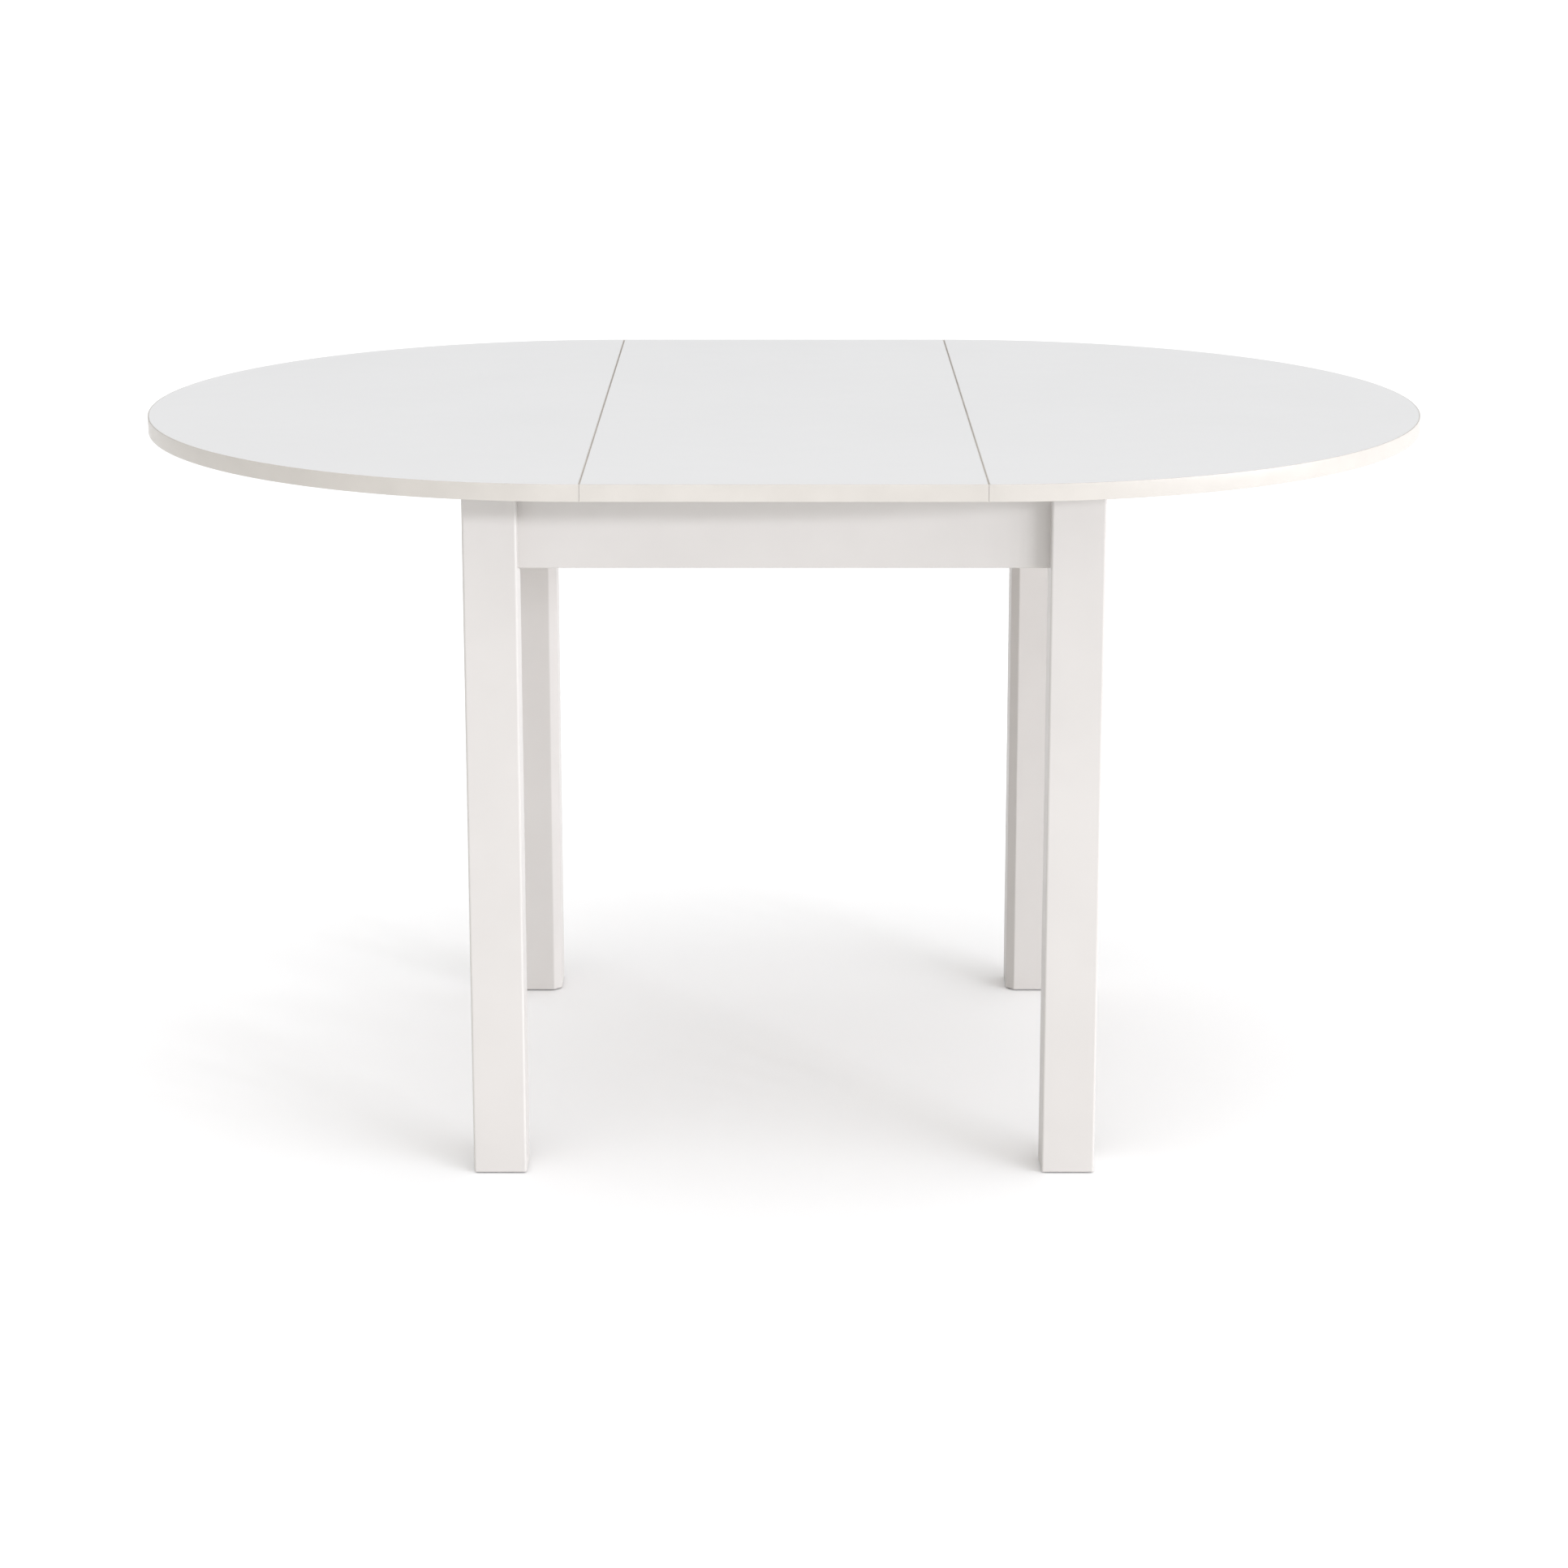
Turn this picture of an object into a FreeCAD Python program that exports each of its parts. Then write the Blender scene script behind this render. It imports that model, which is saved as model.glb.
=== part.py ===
import FreeCAD, Part
import math
import os

# A round dining table that extends: two half-round tops slide apart on a fixed four-leg frame, and a
# loose leaf drops in between them. It is drawn extended, with the leaf in.
# Millimetres. The origin is on the floor under the middle of the top. +X is the way the top extends,
# -Y is the front and +Z is up.

# ---- overall sizes ----
TOTAL_HEIGHT = 763.0
TOP_RADIUS = 490.0  # of each half-round end
LEAF_WIDTH = 391.0
FRAME_SIDE = 648.0  # over the legs, both ways

# ---- top ----
TOP_THICKNESS = 17.0
SEAM_GAP = 0.3
BAND_THICKNESS = 1.0
BAND_CHAMFER = 0.5
OUTWARD_TRAVEL = 60.0  # of each half, to free the leaf

# ---- legs ----
LEG_SIDE = 55.0
LEG_EDGE_RADIUS = 2.5
LEG_CORNER_CUT = 9.0  # off the corner that faces the middle
LEG_FOOT_CHAMFER = 1.0
GLIDE_RADIUS = 10.0
GLIDE_THICKNESS = 1.5
GLIDE_NAIL_RADIUS = 1.25
GLIDE_NAIL_LENGTH = 12.0

# ---- aprons ----
APRON_HEIGHT = 100.0
APRON_THICKNESS = 18.0
APRON_EDGE_CHAMFER = 0.8
SLIDE_GAP = 3.0  # between the frame and the sliding tops
DOWEL_RADIUS = 4.0
DOWEL_LENGTH = 30.0
DOWEL_INSET = 15.0  # from the apron's lower and upper edges to the dowels
PAD_LENGTH = 40.0
PAD_WIDTH = 12.0
PAD_OFFSET = 120.0  # from the middle, along the apron

# ---- guide rails and runners ----
GUIDE_TO_BRACKET = 6.2  # from a guide rail's middle to the corner brackets' flanges
GUIDE_WIDTH = 28.0
GUIDE_HEIGHT = 43.0
GROOVE_DEPTH = 8.0
GROOVE_HEIGHT = 10.0
GROOVE_DROP = 18.0  # from the top's underside to the groove's middle
RUNNER_WIDTH = 22.0
RUNNER_HEIGHT = 32.0
RUNNER_REACH = 80.0  # past the middle of the table
RUNNER_END_BEVEL = 24.0
RUNNER_PLAY = 0.5
NOTCH_CLEARANCE = 2.0
STOP_LENGTH = 20.0
STOP_HEIGHT = 13.0
STOP_CLEARANCE = 1.0

# ---- cleats and leaf battens ----
CLEAT_WIDTH = 32.0
CLEAT_HEIGHT = 20.0
CLEAT_LENGTH = 480.0
CLEAT_CLEARANCE = 6.0  # to the side apron with the table closed
BATTEN_WIDTH = 24.0
BATTEN_HEIGHT = 30.0
BATTEN_LENGTH = 340.0
BATTEN_CLEARANCE = 1.0
BATTEN_CHAMFER = 2.0

# ---- latches ----
LATCH_OFFSET = 380.0  # from the middle to each latch
LATCH_SETBACK = 22.0  # from the seam to a pivot or a post
LATCH_THICKNESS = 2.5
LATCH_GAP = 0.5  # above and below the plate
LATCH_ARM_WIDTH = 16.0
LATCH_EYE_RADIUS = 10.0
LATCH_HOOK_RADIUS = 11.0
LATCH_TAIL_LENGTH = 20.0
LATCH_TAIL_RADIUS = 6.0
PIVOT_PLAY = 0.08
POST_PLAY = 0.5
SHOULDER_RADIUS = 3.0
SHOULDER_HEAD_RADIUS = 6.0
SHOULDER_HEAD_HEIGHT = 2.5
SHOULDER_THREAD_RADIUS = 2.0
SHOULDER_THREAD_LENGTH = 12.0

# ---- corner brackets ----
BRACKET_THICKNESS = 2.5
BRACKET_HEIGHT = 40.0
BRACKET_LIFT = 12.0  # above the aprons' lower edge
BRACKET_GAP = 20.0  # to the leg's cut corner
BRACKET_FLANGE = 25.0
BRACKET_SCREW_SPACING = 20.0
BOLT_RADIUS = 3.9
BOLT_IN_LEG = 35.0
BOLT_END = 5.0  # past the nut
WASHER_RADIUS = 8.0
WASHER_THICKNESS = 1.6
NUT_ACROSS_FLATS = 13.0
NUT_THICKNESS = 6.5
BOLT_CLEARANCE = 0.3

# ---- wood screws ----
SCREW_RADIUS = 2.0
SCREW_HEAD_RADIUS = 3.9
SCREW_HEAD_HEIGHT = 2.4
SCREW_SLOT_WIDTH = 1.0
SCREW_SLOT_DEPTH = 1.2
SCREW_BITE = 11.0  # into a top panel
COUNTERBORE_DEPTH = 4.0
COUNTERBORE_RADIUS = 4.8
HOLE_CLEARANCE = 0.1
BRACKET_SCREW_LENGTH = 14.0
GUIDE_SCREW_BITE = 25.0
GUIDE_COUNTERBORE = 6.0
RUNNER_SCREW_COUNT = 4
RUNNER_SCREW_INSET = 34.0
CLEAT_SCREW_COUNT = 5
CLEAT_SCREW_INSET = 30.0
BATTEN_SCREW_COUNT = 3
BATTEN_SCREW_INSET = 25.0

# ---- levels and faces worked out from the sizes above ----
TOP_UNDERSIDE = TOTAL_HEIGHT - TOP_THICKNESS
FRAME_TOP = TOP_UNDERSIDE - SLIDE_GAP
APRON_BOTTOM = FRAME_TOP - APRON_HEIGHT
LEG_CENTRE = (FRAME_SIDE - LEG_SIDE) / 2
LEG_INNER = FRAME_SIDE / 2 - LEG_SIDE
APRON_INNER = LEG_CENTRE - APRON_THICKNESS / 2
APRON_OUTER = LEG_CENTRE + APRON_THICKNESS / 2
SEAM_X = (LEAF_WIDTH + SEAM_GAP) / 2
HALF_EDGE_X = LEAF_WIDTH / 2 + SEAM_GAP
CLEAT_INNER_X = APRON_OUTER + CLEAT_CLEARANCE + HALF_EDGE_X
GUIDE_BOTTOM = FRAME_TOP - GUIDE_HEIGHT
GROOVE_MIDDLE = TOP_UNDERSIDE - GROOVE_DROP
RUNNER_BOTTOM = TOP_UNDERSIDE - RUNNER_HEIGHT
RUNNER_SIDE = GUIDE_WIDTH / 2 + RUNNER_PLAY  # from a guide rail's middle to a runner's near face
LATCH_TOP = TOP_UNDERSIDE - LATCH_GAP
BRACKET_MIDDLE = APRON_BOTTOM + BRACKET_LIFT + BRACKET_HEIGHT / 2
CORNER_CUT_SUM = 2 * LEG_INNER + LEG_CORNER_CUT  # |x| + |y| on the leg's cut corner
BRACKET_SUM = CORNER_CUT_SUM - BRACKET_GAP * math.sqrt(2)  # |x| + |y| on the bracket's outer face
BRACKET_BEND = BRACKET_SUM - APRON_INNER  # from the middle plane to the bracket's bends
GUIDE_OFFSET = BRACKET_BEND - BRACKET_FLANGE - GUIDE_TO_BRACKET  # from the middle to each guide rail
DOWEL_LEVELS = (APRON_BOTTOM + DOWEL_INSET, FRAME_TOP - DOWEL_INSET)

X_AXIS = FreeCAD.Vector(1, 0, 0)
Y_AXIS = FreeCAD.Vector(0, 1, 0)
Z_AXIS = FreeCAD.Vector(0, 0, 1)
ORIGIN = FreeCAD.Vector(0, 0, 0)


# ---- small helpers ----
def block(x, y, z):
    """A box from its (low, high) span along each axis."""
    corner = FreeCAD.Vector(x[0], y[0], z[0])
    return Part.makeBox(x[1] - x[0], y[1] - y[0], z[1] - z[0], corner)


def rod(radius, start, axis, length):
    """A cylinder that begins at start and runs along axis."""
    return Part.makeCylinder(radius, length, FreeCAD.Vector(*start), FreeCAD.Vector(*axis))


def prism(points, bottom, top):
    """A plan outline pushed up from bottom to top."""
    corners = [FreeCAD.Vector(x, y, bottom) for x, y in points]
    face = Part.Face(Part.makePolygon(corners + corners[:1]))
    return face.extrude(Z_AXIS * (top - bottom))


def edges_along(shape, axis):
    """The straight edges that run along an axis."""
    found = []
    for edge in shape.Edges:
        if len(edge.Vertexes) == 2:
            run = edge.Vertexes[1].Point - edge.Vertexes[0].Point
            if abs(run.dot(axis)) > run.Length * 0.999:
                found.append(edge)
    return found


def edges_at_level(shape, level):
    """The edges that lie in one horizontal plane."""
    boxes = [(edge, edge.BoundBox) for edge in shape.Edges]
    return [edge for edge, box in boxes if abs(box.ZMin - level) + abs(box.ZMax - level) < 1e-6]


def cut_all(shape, tools):
    """The shape with every tool taken out of it."""
    return shape.cut(Part.makeCompound(tools)) if tools else shape


def spread(low, high, count):
    """Evenly spaced places from low to high."""
    return [low + (high - low) * i / (count - 1) for i in range(count)]


def turned(shape):
    """The shape half a turn round the table's middle."""
    copy = shape.copy()
    copy.rotate(ORIGIN, Z_AXIS, 180)
    return copy


def four_ways(shape):
    """The front left shape, and its mirror images at the other three corners."""
    front_right = shape.mirror(ORIGIN, X_AXIS)
    back_left = shape.mirror(ORIGIN, Y_AXIS)
    return {
        "front_left": shape,
        "front_right": front_right,
        "back_left": back_left,
        "back_right": front_right.mirror(ORIGIN, Y_AXIS),
    }


def front_and_back(shape):
    """The front shape and its mirror image at the back."""
    return [shape, shape.mirror(ORIGIN, Y_AXIS)]


def standing(shape, point, axis):
    """A fastener drawn at the origin along +Z, moved to point and turned to run along axis."""
    copy = shape.copy()
    turn = FreeCAD.Rotation(Z_AXIS, FreeCAD.Vector(*axis))
    copy.Placement = FreeCAD.Placement(FreeCAD.Vector(*point), turn)
    return copy


# ---- fasteners ----
def wood_screw(length):
    """A pan-head screw: the head's seat at the origin, the shank along +Z, a cross recess below."""
    shank_end = 2 * SCREW_RADIUS
    shank = rod(SCREW_RADIUS, (0, 0, 0), (0, 0, 1), length - shank_end)
    tip = Part.makeCone(SCREW_RADIUS, 0.2, shank_end, Z_AXIS * (length - shank_end))
    head = rod(SCREW_HEAD_RADIUS, (0, 0, -SCREW_HEAD_HEIGHT), (0, 0, 1), SCREW_HEAD_HEIGHT)
    rim = edges_at_level(head, -SCREW_HEAD_HEIGHT)
    head = head.makeFillet(SCREW_HEAD_HEIGHT / 3, rim)
    half_slot = SCREW_HEAD_RADIUS * 0.6
    half_width = SCREW_SLOT_WIDTH / 2
    depth = (-SCREW_HEAD_HEIGHT, SCREW_SLOT_DEPTH - SCREW_HEAD_HEIGHT)
    cross = [
        block((-half_slot, half_slot), (-half_width, half_width), depth),
        block((-half_width, half_width), (-half_slot, half_slot), depth),
    ]
    return shank.fuse([tip, head.cut(cross[0].fuse(cross[1]))]).removeSplitter()


def screw_hole(length):
    """The hole that a wood screw's shank fills."""
    return rod(SCREW_RADIUS + HOLE_CLEARANCE, (0, 0, 0), (0, 0, 1), length + HOLE_CLEARANCE)


def counterbore(depth):
    """The wider hole over a screw's head, from its seat out."""
    return rod(COUNTERBORE_RADIUS, (0, 0, -depth), (0, 0, 1), depth)


def upward_screws(places, level, depth, length):
    """Screws driven up through a batten: the screws, and what they take out of the wood."""
    seat = level + depth
    screws = [standing(wood_screw(length), (x, y, seat), (0, 0, 1)) for x, y in places]
    holes = [standing(screw_hole(length), (x, y, seat), (0, 0, 1)) for x, y in places]
    bores = [standing(counterbore(depth), (x, y, seat), (0, 0, 1)) for x, y in places]
    return screws, holes, bores


def shoulder_screw(x, y):
    """A headed post under the top: thread up into the panel, shoulder, then a flat round head."""
    drop = LATCH_THICKNESS + 2 * LATCH_GAP
    thread = rod(SHOULDER_THREAD_RADIUS, (x, y, TOP_UNDERSIDE), (0, 0, 1), SHOULDER_THREAD_LENGTH)
    shoulder = rod(SHOULDER_RADIUS, (x, y, TOP_UNDERSIDE), (0, 0, -1), drop)
    head = rod(SHOULDER_HEAD_RADIUS, (x, y, TOP_UNDERSIDE - drop), (0, 0, -1), SHOULDER_HEAD_HEIGHT)
    low_rim = edges_at_level(head, TOP_UNDERSIDE - drop - SHOULDER_HEAD_HEIGHT)
    head = head.makeFillet(SHOULDER_HEAD_HEIGHT / 3, low_rim)
    return thread.fuse([shoulder, head]).removeSplitter()


def shoulder_hole(x, y):
    """The hole that a shoulder screw's thread fills."""
    radius = SHOULDER_THREAD_RADIUS + HOLE_CLEARANCE
    return rod(radius, (x, y, TOP_UNDERSIDE), (0, 0, 1), SHOULDER_THREAD_LENGTH + HOLE_CLEARANCE)


# ---- legs and what holds them ----
def corner_point(total, level):
    """A point on the front left corner's diagonal, from its |x| + |y|."""
    return (-total / 2, -total / 2, level)


INWARD = (1, 1, 0)  # along the front left corner's diagonal
ROOT_TWO = math.sqrt(2)


def hanger_bolt():
    """The threaded stud that ties the front left leg to its bracket."""
    start = CORNER_CUT_SUM + BOLT_IN_LEG * ROOT_TWO
    through = BRACKET_GAP + BRACKET_THICKNESS + WASHER_THICKNESS + NUT_THICKNESS + BOLT_END
    return rod(BOLT_RADIUS, corner_point(start, BRACKET_MIDDLE), INWARD, BOLT_IN_LEG + through)


def bolt_hole():
    """The hole that the hanger bolt fills, through the leg's corner and the bracket."""
    start = CORNER_CUT_SUM + BOLT_IN_LEG * ROOT_TWO
    length = BOLT_IN_LEG + BRACKET_GAP + 2 * BRACKET_THICKNESS
    return rod(BOLT_RADIUS + BOLT_CLEARANCE, corner_point(start, BRACKET_MIDDLE), INWARD, length)


def washer():
    seat = BRACKET_SUM - BRACKET_THICKNESS * ROOT_TWO
    disc = rod(WASHER_RADIUS, corner_point(seat, BRACKET_MIDDLE), INWARD, WASHER_THICKNESS)
    return disc.cut(bolt_sleeve())


def nut():
    """A hexagon nut on the hanger bolt."""
    seat = BRACKET_SUM - (BRACKET_THICKNESS + WASHER_THICKNESS) * ROOT_TWO
    corner_radius = NUT_ACROSS_FLATS / 2 / math.cos(math.pi / 6)
    corners = [
        (corner_radius * math.cos(math.pi / 3 * i), corner_radius * math.sin(math.pi / 3 * i))
        for i in range(6)
    ]
    body = standing(prism(corners, 0, NUT_THICKNESS), corner_point(seat, BRACKET_MIDDLE), INWARD)
    return body.cut(bolt_sleeve())


def bolt_sleeve():
    """What the bolt takes out of the washer and the nut."""
    length = 4 * (NUT_THICKNESS + WASHER_THICKNESS)
    return rod(BOLT_RADIUS + BOLT_CLEARANCE / 3, corner_point(BRACKET_SUM, BRACKET_MIDDLE), INWARD, length)


def dowels(clearance=0.0):
    """The four dowels of the front left leg, two into each apron."""
    radius = DOWEL_RADIUS + clearance
    length = DOWEL_LENGTH + 2 * clearance
    start = -LEG_INNER - length / 2
    found = []
    for level in DOWEL_LEVELS:
        found.append(rod(radius, (start, -LEG_CENTRE, level), (1, 0, 0), length))
        found.append(rod(radius, (-LEG_CENTRE, start, level), (0, 1, 0), length))
    return found


def glide(clearance=0.0):
    """The nail-on glide under the front left leg."""
    place = (-LEG_CENTRE, -LEG_CENTRE)
    disc = rod(GLIDE_RADIUS, (*place, 0), (0, 0, 1), GLIDE_THICKNESS)
    nail_radius = GLIDE_NAIL_RADIUS + clearance
    nail = rod(nail_radius, (*place, 0), (0, 0, 1), GLIDE_THICKNESS + GLIDE_NAIL_LENGTH + clearance)
    return disc.fuse(nail)


def leg():
    """The front left leg: a square post with rounded edges and its inner corner cut off."""
    span = (-FRAME_SIDE / 2, -LEG_INNER)
    post = block(span, span, (GLIDE_THICKNESS, FRAME_TOP))
    inner = max(edges_along(post, Z_AXIS), key=lambda edge: edge.CenterOfMass.x + edge.CenterOfMass.y)
    post = post.makeChamfer(LEG_CORNER_CUT, [inner])
    post = post.makeFillet(LEG_EDGE_RADIUS, edges_along(post, Z_AXIS))
    post = post.makeChamfer(LEG_FOOT_CHAMFER, edges_at_level(post, GLIDE_THICKNESS))
    return cut_all(post, dowels(HOLE_CLEARANCE) + [bolt_hole(), glide(HOLE_CLEARANCE)])


def bracket():
    """The front left corner bracket: a diagonal plate with a flange on each apron."""
    inner_bend = BRACKET_BEND + BRACKET_THICKNESS * (1 - ROOT_TWO)
    flange_end = BRACKET_BEND - BRACKET_FLANGE
    outer = [(flange_end, APRON_INNER), (BRACKET_BEND, APRON_INNER)]
    inner_face = APRON_INNER - BRACKET_THICKNESS
    inner = [(flange_end, inner_face), (inner_bend, inner_face)]
    outline = outer + [(b, a) for a, b in reversed(outer)]
    outline += [(b, a) for a, b in inner] + list(reversed(inner))
    low = BRACKET_MIDDLE - BRACKET_HEIGHT / 2
    plate = prism([(-x, -y) for x, y in outline], low, low + BRACKET_HEIGHT)
    return cut_all(plate, [bolt_hole()] + bracket_screw_holes())


def bracket_screw_places():
    """Where the front left bracket's screws seat, and the way that each is driven."""
    along = -(BRACKET_BEND - BRACKET_FLANGE / 2)
    face = -(APRON_INNER - BRACKET_THICKNESS)
    places = []
    for level in (BRACKET_MIDDLE - BRACKET_SCREW_SPACING / 2, BRACKET_MIDDLE + BRACKET_SCREW_SPACING / 2):
        places.append(((along, face, level), (0, -1, 0)))
        places.append(((face, along, level), (-1, 0, 0)))
    return places


def bracket_screws():
    return [standing(wood_screw(BRACKET_SCREW_LENGTH), *place) for place in bracket_screw_places()]


def bracket_screw_holes():
    return [standing(screw_hole(BRACKET_SCREW_LENGTH), *place) for place in bracket_screw_places()]


def corner_cuts():
    """Every hole that the four corners' dowels and bracket screws need in the aprons."""
    tools = []
    for shape in dowels(HOLE_CLEARANCE) + bracket_screw_holes():
        tools += four_ways(shape).values()
    return tools


# ---- aprons and guide rails ----
def eased(board):
    """An apron board with its long edges eased."""
    box = board.BoundBox
    run = X_AXIS if box.XLength > box.YLength else Y_AXIS
    return board.makeChamfer(APRON_EDGE_CHAMFER, edges_along(board, run))


def front_apron():
    span = (-APRON_OUTER, -APRON_INNER)
    board = eased(block((-LEG_INNER, LEG_INNER), span, (APRON_BOTTOM, FRAME_TOP)))
    return cut_all(board, corner_cuts())


def left_apron():
    """The left apron, notched for the guide rails and the runners beside them."""
    span = (-APRON_OUTER, -APRON_INNER)
    board = eased(block(span, (-LEG_INNER, LEG_INNER), (APRON_BOTTOM, FRAME_TOP)))
    half_notch = RUNNER_SIDE + RUNNER_WIDTH + NOTCH_CLEARANCE
    notch_span = (-GUIDE_OFFSET - half_notch, -GUIDE_OFFSET + half_notch)
    notch = block((-APRON_OUTER - 1, -APRON_INNER + 1), notch_span, (GUIDE_BOTTOM, FRAME_TOP + 1))
    return cut_all(board, corner_cuts() + front_and_back(notch) + guide_screw_holes())


def guide_screw_length():
    return GUIDE_HEIGHT - GUIDE_COUNTERBORE + GUIDE_SCREW_BITE


def guide_screw_seats():
    """Where the guide rails' screws seat, above the side aprons."""
    level = FRAME_TOP - GUIDE_COUNTERBORE
    return [(sx * LEG_CENTRE, sy * GUIDE_OFFSET, level) for sx in (-1, 1) for sy in (-1, 1)]


def guide_screws():
    return [standing(wood_screw(guide_screw_length()), seat, (0, 0, -1)) for seat in guide_screw_seats()]


def guide_screw_holes():
    tools = []
    for seat in guide_screw_seats():
        tools.append(standing(screw_hole(guide_screw_length()), seat, (0, 0, -1)))
        tools.append(standing(counterbore(GUIDE_COUNTERBORE), seat, (0, 0, -1)))
    return tools


def front_guide_rail():
    """The front guide rail: it lies in the side aprons' notches, with a groove along each side."""
    half = GUIDE_WIDTH / 2
    ends = (-APRON_OUTER, APRON_OUTER)
    bar = block(ends, (-GUIDE_OFFSET - half, -GUIDE_OFFSET + half), (GUIDE_BOTTOM, FRAME_TOP))
    groove_z = (GROOVE_MIDDLE - GROOVE_HEIGHT / 2, GROOVE_MIDDLE + GROOVE_HEIGHT / 2)
    core = half - GROOVE_DEPTH
    past_ends = (-APRON_OUTER - 1, APRON_OUTER + 1)
    grooves = [
        block(past_ends, (-GUIDE_OFFSET - half - 1, -GUIDE_OFFSET - core), groove_z),
        block(past_ends, (-GUIDE_OFFSET + core, -GUIDE_OFFSET + half + 1), groove_z),
    ]
    return cut_all(bar, grooves + guide_screw_holes())


def guide_stops():
    """The four blocks on the guide rails that end the halves' outward travel."""
    end = RUNNER_REACH - STOP_LENGTH - OUTWARD_TRAVEL - RUNNER_PLAY
    span_x = (end - STOP_LENGTH, end)
    near = GUIDE_OFFSET + GUIDE_WIDTH / 2
    inner_near = GUIDE_OFFSET - GUIDE_WIDTH / 2
    levels = (GUIDE_BOTTOM, RUNNER_BOTTOM - STOP_CLEARANCE)
    left_stops = [
        block(span_x, (-near - RUNNER_WIDTH, -near), levels),
        block(span_x, (inner_near - RUNNER_WIDTH, inner_near), levels),
    ]
    return left_stops + [turned(stop) for stop in left_stops]


def leaf_pads():
    """Felt pads on the front and back aprons, under the leaf."""
    span_y = (-LEG_CENTRE - PAD_WIDTH / 2, -LEG_CENTRE + PAD_WIDTH / 2)
    span_x = (-PAD_OFFSET - PAD_LENGTH / 2, -PAD_OFFSET + PAD_LENGTH / 2)
    return list(four_ways(block(span_x, span_y, (FRAME_TOP, TOP_UNDERSIDE))).values())


# ---- the sliding half ----
def half_round(radius, cut_x):
    """The part of a disc, centred on the left half's straight edge, that lies left of cut_x."""
    centre = FreeCAD.Vector(-HALF_EDGE_X, 0, TOP_UNDERSIDE)
    disc = Part.makeCylinder(radius, TOP_THICKNESS, centre)
    reach = TOP_RADIUS + 1
    rest = block((cut_x, reach), (-reach, reach), (TOP_UNDERSIDE - 1, TOTAL_HEIGHT + 1))
    return disc.cut(rest)


def chamfered_slab(slab):
    """A top with its upper and lower edges eased."""
    rims = edges_at_level(slab, TOP_UNDERSIDE) + edges_at_level(slab, TOTAL_HEIGHT)
    return slab.makeChamfer(BAND_CHAMFER, rims)


def half_core():
    """The left half's board inside its edge band."""
    return half_round(TOP_RADIUS - BAND_THICKNESS, -HALF_EDGE_X - BAND_THICKNESS)


def half_band():
    """The left half's edge band, round the curve and along the seam."""
    return chamfered_slab(half_round(TOP_RADIUS, -HALF_EDGE_X)).cut(half_core())


def runner_screw_length():
    return RUNNER_HEIGHT - COUNTERBORE_DEPTH + SCREW_BITE


def runner(face_y):
    """A left runner: it fills the space in front of face_y, and its tongue reaches back into a groove."""
    span_x = (-CLEAT_INNER_X, RUNNER_REACH)
    bar = block(span_x, (face_y - RUNNER_WIDTH, face_y), (RUNNER_BOTTOM, TOP_UNDERSIDE))
    low_edges = edges_at_level(bar, RUNNER_BOTTOM)
    low_end = [e for e in low_edges if e.BoundBox.XMax < 0]
    bar = bar.makeChamfer(RUNNER_END_BEVEL, low_end)
    tongue_half = GROOVE_HEIGHT / 2 - RUNNER_PLAY
    levels = (GROOVE_MIDDLE - tongue_half, GROOVE_MIDDLE + tongue_half)
    tongue = block(span_x, (face_y, face_y + GROOVE_DEPTH - RUNNER_PLAY), levels)
    _, holes, bores = runner_screw_set(face_y)
    return cut_all(bar.fuse(tongue).removeSplitter(), holes + bores)


def runner_screw_set(face_y):
    far = -CLEAT_INNER_X + RUNNER_SCREW_INSET
    near = -HALF_EDGE_X - RUNNER_SCREW_INSET
    middle = face_y - RUNNER_WIDTH / 2
    places = [(x, middle) for x in spread(far, near, RUNNER_SCREW_COUNT)]
    return upward_screws(places, RUNNER_BOTTOM, COUNTERBORE_DEPTH, runner_screw_length())


def runner_faces():
    """Where the left runners face the guide rails: outside the front rail and inside the back rail."""
    return {"outer": -GUIDE_OFFSET - RUNNER_SIDE, "inner": GUIDE_OFFSET - RUNNER_SIDE}


def runner_stops():
    """The blocks under the left runners' inner ends."""
    span_x = (RUNNER_REACH - STOP_LENGTH, RUNNER_REACH)
    levels = (RUNNER_BOTTOM - STOP_HEIGHT, RUNNER_BOTTOM)
    return [block(span_x, (face - RUNNER_WIDTH, face), levels) for face in runner_faces().values()]


def cleat_screw_set():
    middle = -CLEAT_INNER_X - CLEAT_WIDTH / 2
    end = CLEAT_LENGTH / 2 - CLEAT_SCREW_INSET
    places = [(middle, y) for y in spread(-end, end, CLEAT_SCREW_COUNT)]
    return upward_screws(places, TOP_UNDERSIDE - CLEAT_HEIGHT, COUNTERBORE_DEPTH, short_screw_length())


def short_screw_length():
    return CLEAT_HEIGHT - COUNTERBORE_DEPTH + SCREW_BITE


def cleat():
    """The left half's cross cleat, at the runners' outer ends."""
    span_x = (-CLEAT_INNER_X - CLEAT_WIDTH, -CLEAT_INNER_X)
    span_y = (-CLEAT_LENGTH / 2, CLEAT_LENGTH / 2)
    bar = block(span_x, span_y, (TOP_UNDERSIDE - CLEAT_HEIGHT, TOP_UNDERSIDE))
    bar = bar.makeChamfer(BATTEN_CHAMFER, edges_at_level(bar, TOP_UNDERSIDE - CLEAT_HEIGHT))
    _, holes, bores = cleat_screw_set()
    return cut_all(bar, holes + bores)


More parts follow.
